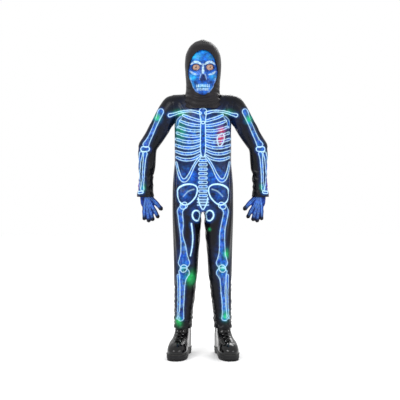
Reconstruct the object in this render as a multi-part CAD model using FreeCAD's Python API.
"""A child-size standing skeleton figure for Halloween: a hinged steel tube frame with hollow plastic body
forms and a solid-headed dummy, dressed in a jumpsuit, a hood with a skull mask, gloves and laced boots.

Frame: millimetres, +Z up, the figure faces -Y, its own left side is +X.
Origin: on the floor, midway between the boots, at the centre of the figure's box.
Everything is built on the left side (+X) and mirrored to the right.
"""
import FreeCAD
import Part
import math
import os

from FreeCAD import Rotation, Vector

# ---------------------------------------------------------------- driving dimensions
HIP = Vector(69, 0, 700)          # hip pivot, axis along X
KNEE = Vector(74, 0, 400)         # knee pivot, axis along X
ANKLE = Vector(90, 0, 82)         # ankle pivot, axis along X
SHOULDER = Vector(135, 0, 1105)   # shoulder centre: swing axis along X, lift axis along Y
ELBOW = Vector(252, 0, 930)       # elbow pivot, axis along X
WRIST = Vector(252, 0, 735)       # wrist turns on the vertical line through it
NOD = Vector(0, 10, 1205)         # head nods on an axis along X
NECK_Y = 10                       # head turns on the vertical line at this y

HIP_SWING = (-15, 45)             # degrees, forward is positive
KNEE_BEND = (0, 70)               # degrees, backward
ELBOW_BEND = (0, 80)              # degrees, forward
CHIN_SWEEP = 102                  # radius that the chin needs as the head turns and nods
CHIN_LOW = 1128                   # lowest level that the chin reaches

CLOTH = 1.5                       # thickness of every fabric solid
FORM_WALL = 2.5                   # wall of the hollow plastic forms
FORM_INSET = 10                   # space between the cloth and the form inside it
LIFT_LOW = -3                     # how far the arm lift goes inward, degrees
SHIFT = 31.4                      # the joints stand this far behind the origin
CLEAR = 0.3                       # gap between pieces that only pass each other
RUN = 0.05                        # radial clearance of a pin or post in its hole

TUBE_OUT = 12.5                   # spine, bars and thighs
LIMB_OUT = 10.0                   # arm and shin tubes
POST = 8.0                        # turning posts in the neck, shoulders and wrists
BOLT = 4.0                        # hinge bolts
HIP_BOLT = 6.0
EAR_IN = 8.0                      # half the gap of a hinge fork
EAR_OUT = 12.0                    # half the width of a hinge fork
LUG = EAR_IN - CLEAR              # half the width of the tongue in a fork
EAR_R = 12.0                      # rounded end of forks and tongues

FOREARM_R = 38                    # rounded top of the lower sleeve
SHIN_R = 60                       # rounded top of the lower trouser leg
THIGH_R = 95                      # rounded top of the upper trouser leg
SLEEVE_R = 50                     # ball at the top of the sleeve
JOINT_GAP = 1.5                   # room round each rounded top

BOOT_YAW = 12                     # toes point outward, degrees
HEM = 123                         # height of the trouser hems
CUFF = 706                        # height of the sleeve hems
ZIP_TOP = 1088
ZIP_LOW = 790
ZIP_Y = 89.2                      # outer face of the back panel under the zip

# level sections of the cloth: (z, centre x, half width, front depth, back depth)
TORSO = [
    (655, 0, 133, 90, 90), (700, 0, 133, 92, 90), (760, 0, 133, 94, 89), (860, 0, 121, 92, 88),
    (960, 0, 125, 96, 88), (1040, 0, 128, 94, 88), (1100, 0, 124, 80, 84), (1136, 0, 112, 64, 72),
    (1154, 0, 92, 54, 60), (1164, 0, 72, 46, 50),
]
LEG = [
    (810, 68, 62, 94, 90), (700, 69.5, 63.5, 92, 91), (640, 69.5, 63, 86, 88), (560, 70, 60, 76, 76),
    (480, 72, 56, 66, 66), (400, 74, 54, 59, 58), (300, 80, 49, 56, 60), (200, 86, 44, 61, 62),
    (HEM, 90, 41.5, 62, 62),
]
FOREARM = [
    (980, 252, 38, 38, 38), (930, 252, 38, 38, 38), (870, 252, 36, 36, 36), (790, 253, 34, 34, 35),
    (CUFF, 256, 39, 37, 37),
]
# along the upper arm from the shoulder centre: (distance, half width, front and back depth)
UPPER_ARM = [
    (-34, 36.5, 35), (-24, 43.5, 42), (-12, 48.3, 46), (0, 50, 47), (30, 50, 47), (60, 49, 45), (110, 46, 42),
    (160, 41, 39), (210, 38, 38), (262, 38, 38),
]
HEAD = [
    (1152, 0, 20, 82, -32), (1166, 0, 36, 88, -8), (1190, 0, 50, 90, 45), (1220, 0, 60, 90, 78),
    (1260, 0, 66, 88, 92), (1300, 0, 69, 85, 97), (1340, 0, 63, 73, 90), (1370, 0, 43, 48, 64),
    (1384, 0, 20, 20, 36),
]
HOOD = [
    (1178, 0, 73, 80, 88), (1205, 0, 73, 88, 94), (1250, 0, 78, 94, 103), (1300, 0, 80, 95, 108),
    (1345, 0, 72, 84, 101), (1380, 0, 48, 55, 72), (1400, 0, 14, 16, 30),
]
EYE_X, EYE_Y, EYE_Z, EYE_R = 31, -71, 1272, 12

# ribs inside the torso shells that clamp the frame: (low x, high x, low z, high z)
RIBS = [(-46, -41, 1082, 1128), (41, 46, 1082, 1128), (-50, 50, 822, 827), (-50, 50, 985, 990)]

# hand: wrist end, knuckle and tip of each finger as (x, y, z), with the finger's radius
FINGERS = [
    ((230, -1, 668), (213, -2, 640), (201, 5, 615), 7.4),
    ((240, -2, 664), (231, -4, 632), (224, 6, 603), 7.6),
    ((250, -2, 664), (246, -4, 630), (242, 6, 597), 7.4),
    ((261, -1, 669), (262, -2, 638), (262, 6, 606), 6.6),
]
THUMB = ((236, 2, 706), (208, 4, 676), (186, 2, 651), 8.4)
PALM = [(742, 252, 22, 17, 17), (716, 252, 25, 17, 17), (690, 249, 28, 15, 17), (668, 246, 27, 12, 14), (658, 246, 22, 9, 11)]
GLOVE = 1.4                       # how far the glove stands off the hand


# ---------------------------------------------------------------- shape helpers
def cylinder(start, end, radius):
    """Solid round bar between two points."""
    run = end - start
    return Part.makeCylinder(radius, run.Length, start, run)


def tube(start, end, outer, inner):
    """Round tube between two points."""
    return cylinder(start, end, outer).cut(cylinder(start, end, inner))


def hollow(start, end, radius):
    """Bore that makes a bar between two points a tube with a 2 mm wall, with its small vent hole."""
    run = end - start
    run = run * (1 / run.Length)
    bore = cylinder(start, end, radius - 2)
    middle = (start + end) * 0.5
    return bore.fuse(cylinder(middle, middle + Vector(0, radius + 4, 0), 1.5))


def block(x0, x1, y0, y1, z0, z1):
    """Box from its lowest to its highest corner."""
    return Part.makeBox(x1 - x0, y1 - y0, z1 - z0, Vector(x0, y0, z0))


def capsule(start, end, radius):
    """Round bar with ball ends."""
    ends = [Part.makeSphere(radius, p) for p in (start, end)]
    return cylinder(start, end, radius).multiFuse(ends)


def section(z, centre, half_x, front, back, inset=0.0, power=2.35):
    """Closed level curve, squarer than an ellipse, with its own depth to the front and the back."""
    points = []
    count = 20
    middle = (back - front) / 2 if back < 0 else 0.0
    for i in range(count):
        angle = 2 * math.pi * i / count
        c, s = math.cos(angle), math.sin(angle)
        depth = (back - middle if s > 0 else front + middle) - inset
        x = centre + (half_x - inset) * math.copysign(abs(c) ** (2 / power), c)
        y = middle + depth * math.copysign(abs(s) ** (2 / power), s)
        points.append(Vector(x, y, z))
    curve = Part.BSplineCurve()
    curve.interpolate(Points=points, PeriodicFlag=True)
    return Part.Wire([curve.toShape()])


def loft(sections, inset=0.0):
    """Solid through level sections, made smaller all round by inset."""
    return Part.makeLoft([section(*s, inset=inset) for s in sections], True, False)


def shell(sections, wall, inset=0.0):
    """Open-ended wall through level sections."""
    return loft(sections, inset).cut(loft(sections, inset + wall))


def between(sections, low, high):
    """The level sections from low to high, with new ones interpolated at both limits."""
    rows = sorted(sections)

    def at(z):
        for a, b in zip(rows, rows[1:]):
            if a[0] <= z <= b[0]:
                share = (z - a[0]) / (b[0] - a[0])
                return tuple(p + (q - p) * share for p, q in zip(a, b))
        raise ValueError(z)

    return [at(low)] + [r for r in rows if low + 8 < r[0] < high - 8] + [at(high)]


def fan(pivot, radius, limits, reach, x0, x1):
    """Room that a limb of this radius sweeps about an axis along X, as a prism from x0 to x1.
    The limits are degrees from hanging straight down, forward positive."""
    low, high = (math.radians(a) for a in limits)
    step = math.radians(6)
    far = math.hypot(radius, reach)
    lean = math.atan2(radius, reach)
    near = radius * 1.004

    def at(length, angle):
        return Vector(x0, pivot.y - length * math.sin(angle), pivot.z - length * math.cos(angle))

    def arc(length, start, end):
        count = max(2, math.ceil(abs(end - start) / step))
        return [at(length, start + (end - start) * i / count) for i in range(count + 1)]

    points = arc(far, low - lean, high + lean)
    points += arc(near, high + math.pi / 2, low + 1.5 * math.pi)
    face = Part.Face(Part.makePolygon(points + points[:1]))
    return face.extrude(Vector(x1 - x0, 0, 0))


def below_or_round(pivot, radius, low):
    """Region below a pivot's level plus a drum round its X axis: it gives a limb its rounded top."""
    wide = 400
    drum = cylinder(Vector(-wide, pivot.y, pivot.z), Vector(wide, pivot.y, pivot.z), radius)
    return block(-wide, wide, -wide, wide, low, pivot.z).fuse(drum)


def fork(pivot, top, width=EAR_R):
    """Hinge fork for an axis along X: two ears below a bridge, holes for the bolt."""
    inside = EAR_IN
    outside = EAR_OUT
    body = block(pivot.x - outside, pivot.x + outside, -width, width, pivot.z, top)
    body = body.fuse(cylinder(pivot - Vector(outside, 0, 0), pivot + Vector(outside, 0, 0), width))
    slot = block(pivot.x - inside, pivot.x + inside, -2 * width, 2 * width, pivot.z - 2 * width, top - 8)
    hole = cylinder(pivot - Vector(2 * outside, 0, 0), pivot + Vector(2 * outside, 0, 0), BOLT + RUN)
    return body.cut(slot).cut(hole)


def tongue(pivot, low, width=EAR_R - 1):
    """Flat tongue that turns in a fork on an axis along X, reaching down to low."""
    body = block(pivot.x - LUG, pivot.x + LUG, -width, width, low, pivot.z)
    body = body.fuse(cylinder(pivot - Vector(LUG, 0, 0), pivot + Vector(LUG, 0, 0), width))
    return body.cut(cylinder(pivot - Vector(20, 0, 0), pivot + Vector(20, 0, 0), BOLT + RUN))


def hinge_bolt(pivot, direction=Vector(1, 0, 0)):
    """Bolt with a hexagon head and a nut, through a fork of the usual width."""
    shank = cylinder(pivot - direction * (EAR_OUT + 7), pivot + direction * (EAR_OUT + 3), BOLT)
    head = hexagon(pivot + direction * (EAR_OUT + CLEAR), direction, 6.5, 4.0)
    nut = hexagon(pivot - direction * (EAR_OUT + CLEAR), direction * -1, 6.5, 5.0)
    return shank.multiFuse([head, nut])


def hexagon(base, direction, radius, height):
    """Hexagonal prism standing on base."""
    points = [Vector(radius * math.cos(math.pi * i / 3), radius * math.sin(math.pi * i / 3), 0) for i in range(6)]
    prism = Part.Face(Part.makePolygon(points + points[:1])).extrude(Vector(0, 0, height))
    prism.Placement = FreeCAD.Placement(base, Rotation(Vector(0, 0, 1), direction))
    return prism


def right_of(shape):
    """The same piece for the figure's right side."""
    return shape.mirror(Vector(0, 0, 0), Vector(1, 0, 0))


def save(name, shape):
    """Writes one node; a node may hold several separate solids."""
    shape.translated(Vector(0, SHIFT, 0)).exportStep(os.path.join("parts", name + ".step"))


def save_pair(name, shape):
    """Writes the left and the right piece."""
    save(name + "_left", shape)
    save(name + "_right", right_of(shape))


# ---------------------------------------------------------------- upper arm placement
ARM_RUN = ELBOW - SHOULDER
ARM_LEN = ARM_RUN.Length
ARM_DIR = ARM_RUN * (1 / ARM_LEN)
ARM_PLACE = FreeCAD.Placement(SHOULDER, Rotation(Vector(0, 0, -1), ARM_DIR))


def along_arm(rows, wall, inset, start, end):
    """Open-ended wall round the upper arm between two distances from the shoulder."""
    level = [(-d, 0, half, deep, deep) for d, half, deep in rows]
    piece = shell(between(level, -end, -start), wall, inset) if wall else loft(between(level, -end, -start), inset)
    piece.Placement = ARM_PLACE
    return piece


# ---------------------------------------------------------------- rooms that other pieces sweep
def arm_room(extra):
    """What the sleeve's top sweeps as the arm swings and lifts: a ball and the cone outside it."""
    lean = math.atan2(ARM_DIR.x, -ARM_DIR.z) + math.radians(LIFT_LOW)
    down = Vector(math.sin(lean), 0, -math.cos(lean))
    side = Vector(-down.z, 0, down.x)
    half = SLEEVE_R + extra
    ball = Part.makeSphere(half, SHOULDER)
    edge = SHOULDER - side * half
    far = edge + down * 130
    profile = [
        Vector(edge.x, 0, edge.z), Vector(far.x, 0, far.z), Vector(far.x + 60, 0, far.z),
        Vector(far.x + 60, 0, SHOULDER.z), Vector(edge.x, 0, SHOULDER.z),
    ]
    face = Part.Face(Part.makePolygon(profile + profile[:1]))
    return ball.fuse(face.revolve(SHOULDER, Vector(1, 0, 0), 360))


def chin_room(extra):
    """What the chin sweeps in front of the neck."""
    drum = Part.makeCylinder(CHIN_SWEEP + extra, 200, Vector(0, NECK_Y, CHIN_LOW - extra))
    front = drum.common(block(-300, 300, -300, 12, 1000, 1500))
    collar = Part.makeCylinder(66 + extra, 300, Vector(0, NECK_Y, CHIN_LOW - extra))
    return front.fuse(collar)


def hip_room(extra):
    """What both thighs sweep."""
    return fan(HIP, THIGH_R + extra, HIP_SWING, 170, -180, 180)


def cut_torso(shape, extra, chin=True):
    """Takes the room of the arms, thighs and chin out of a torso piece."""
    arm = arm_room(extra)
    rooms = [arm, right_of(arm), hip_room(extra)] + ([chin_room(extra)] if chin else [])
    for room in rooms:
        shape = shape.cut(room)
    return shape


def largest(shape):
    """The largest solid of a shape, so that a boolean leaves no crumbs."""
    return max(shape.Solids, key=lambda s: s.Volume)


# ---------------------------------------------------------------- torso
def build_frame():
    """Spine, shoulder bar and hip bar, coped to meet face to face, and the hip bolts."""
    spine = tube(Vector(0, 0, HIP.z), Vector(0, 0, 1098), TUBE_OUT, POST + RUN)
    neck_base = tube(Vector(0, NECK_Y, SHOULDER.z), Vector(0, NECK_Y, 1150), TUBE_OUT, POST + RUN)
    shoulder_y = 0
    bar_ends = [Vector(s * 98, shoulder_y, SHOULDER.z) for s in (-1, 1)]
    bar = tube(bar_ends[0], bar_ends[1], TUBE_OUT, POST + RUN)
    hip_ends = [Vector(s * 48, 0, HIP.z) for s in (-1, 1)]
    hip_bar = tube(hip_ends[0], hip_ends[1], TUBE_OUT, HIP_BOLT + RUN)
    neck_seat = neck_base.cut(cylinder(bar_ends[0], bar_ends[1], TUBE_OUT))
    spine = spine.cut(cylinder(bar_ends[0], bar_ends[1], TUBE_OUT)).cut(cylinder(hip_ends[0], hip_ends[1], TUBE_OUT))
    save("spine_tube", Part.makeCompound([largest(spine), largest(neck_seat)]))
    save("shoulder_bar", bar)
    save("hip_bar", hip_bar)

    def hip_bolt(side):
        inner = Vector(side * 14, 0, HIP.z)
        outer = Vector(side * 92, 0, HIP.z)
        out = Vector(side, 0, 0)
        shank = cylinder(inner, outer, HIP_BOLT)
        return shank.fuse(hexagon(outer - out * 8, out, 10, 8))

    save("hip_bolts", Part.makeCompound([hip_bolt(-1), hip_bolt(1)]))


def build_torso_forms():
    """Front and back plastic shells held by four screws in moulded posts."""
    outer = loft(TORSO, FORM_INSET)
    inner = loft(TORSO, FORM_INSET + FORM_WALL)
    wall = outer.cut(inner)
    posts = [(x, z) for x in (-70, 70) for z in (850, 1020)]
    halves = {"torso_back_shell": 1, "torso_front_shell": -1}
    screws = []
    for name, side in halves.items():
        near = side * 0.2
        half = block(-200, 200, *sorted((near, side * 300)), 600, 1200)
        piece = wall
        for x, z in posts:
            post = cylinder(Vector(x, near, z), Vector(x, side * 150, z), 8).common(outer)
            piece = piece.fuse(post)
        for x0, x1, z0, z1 in RIBS:
            rib = block(x0, x1, *sorted((near, side * 200)), z0, z1)
            piece = piece.fuse(rib.common(outer))
        if side < 0:
            piece = piece.cut(block(-200, 200, -200, 12, CHIN_LOW - 4, 1300))
            piece = cut_torso(piece.common(half), 4, chin=False)
        else:
            piece = cut_torso(piece.common(half), 4)
        for x, z in posts:
            if side > 0:
                piece = piece.cut(cylinder(Vector(x, -1, z), Vector(x, 150, z), 2.3))
                piece = piece.cut(cylinder(Vector(x, 62, z), Vector(x, 150, z), 4.6))
                shank = cylinder(Vector(x, -22, z), Vector(x, 62, z), 2.0)
                screws.append(shank.fuse(cylinder(Vector(x, 62, z), Vector(x, 64.4, z), 4.2)))
            else:
                piece = piece.cut(cylinder(Vector(x, 1, z), Vector(x, -26, z), 2.05))
        piece = piece.cut(cylinder(Vector(-150, 0, SHOULDER.z), Vector(150, 0, SHOULDER.z), TUBE_OUT))
        piece = piece.cut(cylinder(Vector(0, 0, 700), Vector(0, 0, 1098), TUBE_OUT))
        piece = piece.cut(cylinder(Vector(0, NECK_Y, 1100), Vector(0, NECK_Y, 1200), TUBE_OUT + 3))
        save(name, largest(piece))
    save("shell_screws", Part.makeCompound(screws))


def build_suit_body():
    """Body of the jumpsuit, the hood's drape on the shoulders and the zip in the back."""
    body = cut_torso(shell(TORSO, CLOTH), JOINT_GAP)
    save("suit_body", largest(body))
    over = [(z, c, h + 5, f + 5, b + 5) for z, c, h, f, b in TORSO if z > 1000]
    drape = shell(over, CLOTH).common(block(-84, 84, -120, 120, 1106, 1155))
    drape = drape.cut(chin_room(JOINT_GAP))
    save("hood_drape", largest(drape))
    tape = block(-13, 13, ZIP_Y, ZIP_Y + 0.9, ZIP_LOW, ZIP_TOP)
    chain = block(-2.6, 2.6, ZIP_Y + 0.9, ZIP_Y + 2.6, ZIP_LOW + 4, ZIP_TOP - 2)
    save("zip_tape", tape.fuse(chain))
    top = ZIP_TOP - 4
    plate_y = ZIP_Y + 2.9
    slider = block(-5, 5, plate_y, plate_y + 1.6, top - 14, top)
    for side in (-1, 1):
        flange = block(*sorted((side * 3.0, side * 5.0)), ZIP_Y + 1.2, plate_y, top - 14, top)
        slider = slider.fuse(flange)
    bar_y = plate_y + 3.4
    pin = cylinder(Vector(-4.5, bar_y, top - 4), Vector(4.5, bar_y, top - 4), 0.9)
    cheeks = [block(x, x + 1.4, plate_y + 1.6, bar_y + 0.9, top - 6, top - 2) for x in (-4.5, 3.1)]
    slider = slider.multiFuse([pin, *cheeks])
    pull = block(-2.8, 2.8, bar_y - 0.8, bar_y + 0.8, top - 34, top - 4)
    pull = pull.fuse(cylinder(Vector(-2.8, bar_y, top - 4), Vector(2.8, bar_y, top - 4), 1.9))
    pull = pull.cut(cylinder(Vector(-6, bar_y, top - 4), Vector(6, bar_y, top - 4), 0.95))
    save("zip_slider", Part.makeCompound([slider, pull]))


# ---------------------------------------------------------------- neck and head
def build_neck():
    """Post that turns in the neck socket, with the fork that carries the head."""
    post = cylinder(Vector(0, NECK_Y, 1119), Vector(0, NECK_Y, 1155), POST)
    flange = cylinder(Vector(0, NECK_Y, 1150 + CLEAR), Vector(0, NECK_Y, 1158), TUBE_OUT)
    base = block(-EAR_OUT, EAR_OUT, NECK_Y - 10, NECK_Y + 10, 1156, NOD.z)
    ends = cylinder(NOD - Vector(EAR_OUT, 0, 0), NOD + Vector(EAR_OUT, 0, 0), 10)
    gap = block(-EAR_IN, EAR_IN, -40, 60, 1172, 1300)
    yoke = post.multiFuse([flange, base, ends]).cut(gap)
    yoke = yoke.cut(cylinder(NOD - Vector(30, 0, 0), NOD + Vector(30, 0, 0), BOLT + RUN))
    save("neck_yoke", yoke)
    save("nod_bolt", hinge_bolt(NOD))


def oval_prism(half_x, half_z, middle_z):
    """Upright oval, extruded through the face side of the head."""
    points = []
    for i in range(24):
        a = 2 * math.pi * i / 24
        narrow = 1 - 0.30 * max(0.0, -math.sin(a)) ** 1.5
        points.append(Vector(half_x * narrow * math.cos(a), -160, middle_z + half_z * math.sin(a)))
    curve = Part.BSplineCurve()
    curve.interpolate(Points=points, PeriodicFlag=True)
    return Part.Face(Part.Wire([curve.toShape()])).extrude(Vector(0, 130, 0))


def build_head():
    """Hollow head with its hinge tongue and eyes, the skull mask and the hood."""
    outer = loft(HEAD)
    inner = loft([(z, c, h, f, b) for z, c, h, f, b in HEAD if 1180 < z < 1380], 4)
    floor_z = 1232
    head = outer.cut(inner)
    bulkhead = loft(between(HEAD, floor_z, floor_z + 5), 1)
    head = head.fuse(bulkhead)
    mouth = Part.makeCylinder(34, 110, Vector(0, NECK_Y, floor_z - 110))
    head = head.cut(mouth)
    eyes = [Part.makeSphere(EYE_R, Vector(s * EYE_X, EYE_Y, EYE_Z)) for s in (-1, 1)]
    for s in (-1, 1):
        head = head.cut(Part.makeSphere(EYE_R + 0.1, Vector(s * EYE_X, EYE_Y, EYE_Z)))
    save("eyes", Part.makeCompound(eyes))
    lug = block(-LUG, LUG, NECK_Y - 9, NECK_Y + 9, NOD.z, floor_z + 2)
    lug = lug.fuse(cylinder(NOD - Vector(LUG, 0, 0), NOD + Vector(LUG, 0, 0), 9))
    lug = lug.cut(cylinder(NOD - Vector(30, 0, 0), NOD + Vector(30, 0, 0), BOLT + RUN))
    save("head_form", largest(head).fuse(lug))
    over = [(z, c, h + 3.4, f + 3.4, b + 3.4) for z, c, h, f, b in HEAD]
    mask = loft(over).cut(loft(over, 1.4)).common(oval_prism(64, 104, 1256))
    for s in (-1, 1):
        hole = Part.makeCylinder(14, 80, Vector(s * EYE_X, -150, EYE_Z), Vector(0, 1, 0))
        mask = mask.cut(hole)
    save("mask", largest(mask))
    crown = [*HOOD[:-1], (1400 - CLOTH, *HOOD[-1][1:])]
    hood = loft(HOOD).cut(loft(crown, CLOTH))
    hood = hood.cut(oval_prism(60, 104, 1250))
    save("hood", largest(hood))


# ---------------------------------------------------------------- arms
def elbow_room():
    """What the upper arm's tube and fork sweep through the top of the lower sleeve."""
    inner, middle, outer = (Vector(ELBOW.x + dx, 0, ELBOW.z) for dx in (-52, -16, 16))
    ring = cylinder(inner, outer, 80).cut(cylinder(inner, middle, 20)).cut(cylinder(middle, outer, 31))
    return ring.common(block(ELBOW.x - 60, ELBOW.x + 20, -80, 16, ELBOW.z - 9, ELBOW.z + 80))


def build_arm():
    """Shoulder yoke, upper arm, forearm and hand of the left arm, and the same on the right."""
    s = SHOULDER
    post = cylinder(Vector(50, 0, s.z), Vector(104, 0, s.z), POST)
    flange = cylinder(Vector(98 + CLEAR, 0, s.z), Vector(108, 0, s.z), TUBE_OUT)
    base = block(106, s.x, -EAR_OUT, EAR_OUT, s.z - 10, s.z + 10)
    ends = cylinder(s - Vector(0, EAR_OUT, 0), s + Vector(0, EAR_OUT, 0), 10)
    gap = block(120, 200, -EAR_IN, EAR_IN, s.z - 60, s.z + 60)
    hole = cylinder(s - Vector(0, 40, 0), s + Vector(0, 40, 0), BOLT + RUN)
    yoke = post.multiFuse([flange, base, ends]).cut(gap).cut(hole)
    save_pair("shoulder_yoke", yoke)
    save_pair("shoulder_bolt", hinge_bolt(s, Vector(0, 1, 0)))

    eye = cylinder(s - Vector(0, LUG, 0), s + Vector(0, LUG, 0), 9.5)
    strap = Part.makeBox(16, 2 * LUG, 36, Vector(-8, -LUG, -36))
    strap.Placement = ARM_PLACE
    rod = cylinder(s + ARM_DIR * 26, s + ARM_DIR * (ARM_LEN - 34), LIMB_OUT)
    elbow_fork = fork(ELBOW, ELBOW.z + 40)
    upper = eye.fuse(strap).cut(hole).multiFuse([rod, elbow_fork])
    upper = upper.cut(hollow(s + ARM_DIR * 40, s + ARM_DIR * (ARM_LEN - 50), LIMB_OUT))
    save_pair("upper_arm_tube", upper)
    save_pair("elbow_bolt", hinge_bolt(ELBOW))

    form = along_arm(UPPER_ARM, 0, FORM_INSET, 58, 150)
    hollow_form = along_arm(UPPER_ARM, 0, FORM_INSET + FORM_WALL, 61, 147)
    form = form.cut(hollow_form).cut(cylinder(s, ELBOW, LIMB_OUT))
    save_pair("upper_arm_form", form)

    sleeve = along_arm(UPPER_ARM, CLOTH, 0, -34, 258)
    yoke_slot = block(-70, -8, -15.5, 15.5, 9, 70)
    yoke_slot.Placement = ARM_PLACE
    sleeve = sleeve.cut(yoke_slot).cut(fan(ELBOW, FOREARM_R + JOINT_GAP, ELBOW_BEND, 110, 150, 360))
    save_pair("sleeve_upper", largest(sleeve))

    low_tongue = tongue(ELBOW, ELBOW.z - 28)
    rod = tube(Vector(ELBOW.x, 0, ELBOW.z - 22), Vector(WRIST.x, 0, WRIST.z + 14), LIMB_OUT, POST + RUN)
    cap = cylinder(Vector(ELBOW.x, 0, ELBOW.z - 34), Vector(ELBOW.x, 0, ELBOW.z - 22), LIMB_OUT)
    forearm = low_tongue.multiFuse([rod, cap])
    save_pair("forearm_tube", forearm)
    cuff = shell(between(FOREARM, CUFF, 975), CLOTH).common(below_or_round(ELBOW, FOREARM_R, 600))
    cuff = cuff.cut(elbow_room())
    save_pair("sleeve_lower", largest(cuff))


def hand_shape(extra):
    """Palm, four fingers and a thumb, grown by extra."""
    palm = loft([(z, c, h + extra, f + extra, b + extra) for z, c, h, f, b in PALM])
    digits = []
    for base, knuckle, tip, radius in FINGERS + [THUMB]:
        a, b, c = (Vector(*p) for p in (base, knuckle, tip))
        digits += [capsule(a, b, radius + extra), capsule(b, c, radius * 0.93 + extra)]
    return palm.multiFuse(digits)


def build_hand():
    """Moulded hand on its turning peg, and the glove over it."""
    hand = hand_shape(0)
    peg = cylinder(Vector(WRIST.x, 0, 720), Vector(WRIST.x, 0, 815), POST)
    stop = cylinder(Vector(WRIST.x, 0, 738), Vector(WRIST.x, 0, WRIST.z + 14 - CLEAR), LIMB_OUT + 2)
    save_pair("hand_form", hand.multiFuse([peg, stop]))
    bottom = hand_shape(GLOVE).cut(block(100, 400, -100, 100, 740, 900))
    save_pair("glove", largest(bottom.cut(hand_shape(0.2)).cut(cylinder(Vector(WRIST.x, 0, 730), Vector(WRIST.x, 0, 760), 12.3))))


# ---------------------------------------------------------------- legs
def build_leg():
    """Thigh, shin and their trouser sections of the left leg, and the same on the right."""
    eye = cylinder(Vector(50, 0, HIP.z), Vector(82, 0, HIP.z), 15)
    rod = cylinder(HIP - Vector(0, 0, 10), KNEE + Vector(0, 0, 34), TUBE_OUT)
    thigh = eye.multiFuse([rod, fork(KNEE, KNEE.z + 42)])
    thigh = thigh.cut(cylinder(Vector(40, 0, HIP.z), Vector(100, 0, HIP.z), HIP_BOLT + RUN))
    thigh = thigh.cut(hollow(HIP - Vector(0, 0, 26), KNEE + Vector(0, 0, 52), TUBE_OUT))
    save_pair("thigh_tube", thigh)
    save_pair("knee_bolt", hinge_bolt(KNEE))
    rows = between(LEG, 480, 640)
    form = loft(rows, FORM_INSET).cut(loft(between(LEG, 483, 637), FORM_INSET + FORM_WALL))
    save_pair("thigh_form", form.cut(cylinder(HIP - Vector(0, 0, 10), KNEE + Vector(0, 0, 34), TUBE_OUT)))
    upper = shell(between(LEG, 345, 805), CLOTH).common(below_or_round(HIP, THIGH_R, 300))
    upper = upper.cut(fan(KNEE, SHIN_R + JOINT_GAP, (-KNEE_BEND[1], 0), 120, 0, 200))
    upper = upper.cut(cylinder(Vector(-20, 0, HIP.z), Vector(52, 0, HIP.z), TUBE_OUT + JOINT_GAP))
    upper = upper.cut(block(-20, TUBE_OUT + 2, -120, 120, HIP.z - TUBE_OUT - 2, HIP.z + 120))
    save_pair("trouser_upper", largest(upper))

    shin = tongue(KNEE, KNEE.z - 28)
    rod = cylinder(KNEE - Vector(0, 0, 22), ANKLE + Vector(0, 0, 24), LIMB_OUT)
    lower_tongue = block(ANKLE.x - LUG, ANKLE.x + LUG, -10, 10, ANKLE.z, ANKLE.z + 30)
    lower_tongue = lower_tongue.fuse(cylinder(ANKLE - Vector(LUG, 0, 0), ANKLE + Vector(LUG, 0, 0), 10))
    shin = shin.multiFuse([rod, lower_tongue])
    shin = shin.cut(cylinder(ANKLE - Vector(30, 0, 0), ANKLE + Vector(30, 0, 0), BOLT + RUN))
    shin = shin.cut(hollow(KNEE - Vector(0, 0, 36), ANKLE + Vector(0, 0, 40), LIMB_OUT))
    save_pair("shin_tube", shin)
    lower = shell(between(LEG, HEM, 465), CLOTH).common(below_or_round(KNEE, SHIN_R, 100))
    lower = lower.cut(block(KNEE.x - 18, KNEE.x + 18, 20, 90, KNEE.z - 10, KNEE.z + 70))
    save_pair("trouser_lower", largest(lower))


# ---------------------------------------------------------------- boots
BOOT_HEEL, BOOT_TOE = 66, -174    # y of the sole's ends, before the toes turn out
SOLE_TOP = 26
SHAFT_TOP = 165
LACE_ROWS = [86, 98, 111, 126, 141, 155]
LACE_R = 1.6


# across the boot: share of the length from the heel, then shares of the heel's and the ball's half width
BOOT_SHAPE = [
    (0.0, 0, 0), (0.046, 0.73, 0), (0.167, 1, 0), (0.342, 0.85, 0.11), (0.542, 0.45, 0.54),
    (0.742, 0.05, 0.96), (0.904, 0, 0.78), (1.0, 0, 0),
]
# boot upper: (z, toe y, heel y, half width at the heel, half width at the ball)
BOOT_ROWS = [
    (SOLE_TOP + 0.1, -168, 61, 31, 42), (48, -165, 62, 32, 42), (66, -142, 59, 32, 39), (80, -96, 54, 31.5, 34),
    (96, -60, 48, 31.5, 31.5), (125, -44, 42, 29, 29), (SHAFT_TOP, -36, 38, 26, 26),
]


def boot_curve(z, toe, heel, back, front, inset=0.0):
    """Closed level curve of a boot, toes towards -Y, drawn from the ankle's line."""
    toe, heel, back, front = toe + inset, heel - inset, back - inset, front - inset
    half = [(heel + (toe - heel) * share, back * b + front * f) for share, b, f in BOOT_SHAPE]
    points = [Vector(w, y, z) for y, w in half] + [Vector(-w, y, z) for y, w in reversed(half[1:-1])]
    curve = Part.BSplineCurve()
    curve.interpolate(Points=points, PeriodicFlag=True)
    return Part.Wire([curve.toShape()])


def sole_outline(inset, z):
    """Outline of the boot's sole at a level."""
    return boot_curve(z, BOOT_TOE, BOOT_HEEL, 33, 45, inset)


def placed_boot(shape):
    """Turns a boot piece outward and moves it under the ankle."""
    shape.Placement = FreeCAD.Placement(Vector(ANKLE.x, 0, 0), Rotation(Vector(0, 0, 1), BOOT_YAW))
    return shape


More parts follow.
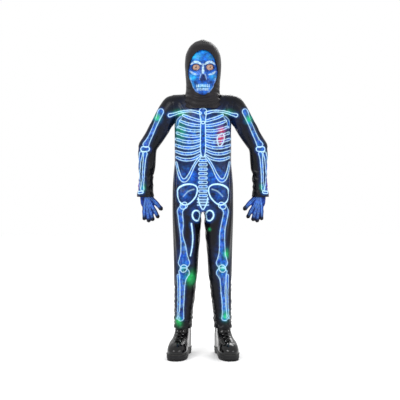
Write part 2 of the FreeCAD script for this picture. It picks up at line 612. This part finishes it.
def boot_upper_solid(inset):
    """Outer shape of the boot above its sole, or the room inside it."""
    rows = list(BOOT_ROWS)
    if inset:
        rows[0] = (rows[0][0] + 3, *rows[0][1:])
        rows[-1] = (rows[-1][0] + 1, *rows[-1][1:])
    return Part.makeLoft([boot_curve(*r, inset=inset) for r in rows], True, False)


def build_boot():
    """Sole, upper, laces, foot plate and ankle bolt of one boot, and its mirror."""
    sole = Part.Face(sole_outline(0, 9)).extrude(Vector(0, 0, SOLE_TOP - 9))
    tread = Part.Face(sole_outline(1.5, 0)).extrude(Vector(0, 0, 9.0))
    arch = block(-60, 60, -26, 0, -1, 9)
    save_pair("boot_sole", placed_boot(sole.fuse(tread.cut(arch))))
    upper = boot_upper_solid(0).cut(boot_upper_solid(3.2))
    plate_room = Part.Face(sole_outline(14, SOLE_TOP + 0.1)).extrude(Vector(0, 0, 4))
    upper = upper.cut(plate_room)
    save_pair("boot_upper", placed_boot(largest(upper)))
    outside = boot_upper_solid(0)
    laces = []
    for z in LACE_ROWS:
        front = outside.common(block(-13, 13, -200, 0, z - LACE_R, z + LACE_R)).BoundBox.YMin
        y = front - LACE_R - 0.1
        laces.append(capsule(Vector(-13, y, z), Vector(13, y, z), LACE_R))
    save_pair("boot_laces", placed_boot(Part.makeCompound(laces)))
    plate = Part.Face(sole_outline(15, SOLE_TOP + 0.3)).extrude(Vector(0, 0, 3))
    ears = block(-EAR_OUT, EAR_OUT, -11, 11, SOLE_TOP + 0.3, ANKLE.z)
    ears = ears.fuse(cylinder(Vector(-EAR_OUT, 0, ANKLE.z), Vector(EAR_OUT, 0, ANKLE.z), 11))
    ears = ears.cut(block(-EAR_IN, EAR_IN, -30, 30, ANKLE.z - 18, 200))
    ears = ears.cut(cylinder(Vector(-30, 0, ANKLE.z), Vector(30, 0, ANKLE.z), BOLT + RUN))
    ears.Placement = FreeCAD.Placement(Vector(ANKLE.x, 0, 0), Rotation())
    save_pair("foot_plate", placed_boot(plate).fuse(ears))
    save_pair("ankle_bolt", hinge_bolt(ANKLE))


def main():
    os.makedirs("parts", exist_ok=True)
    build_frame()
    build_torso_forms()
    build_suit_body()
    build_neck()
    build_head()
    build_arm()
    build_hand()
    build_leg()
    build_boot()


main()
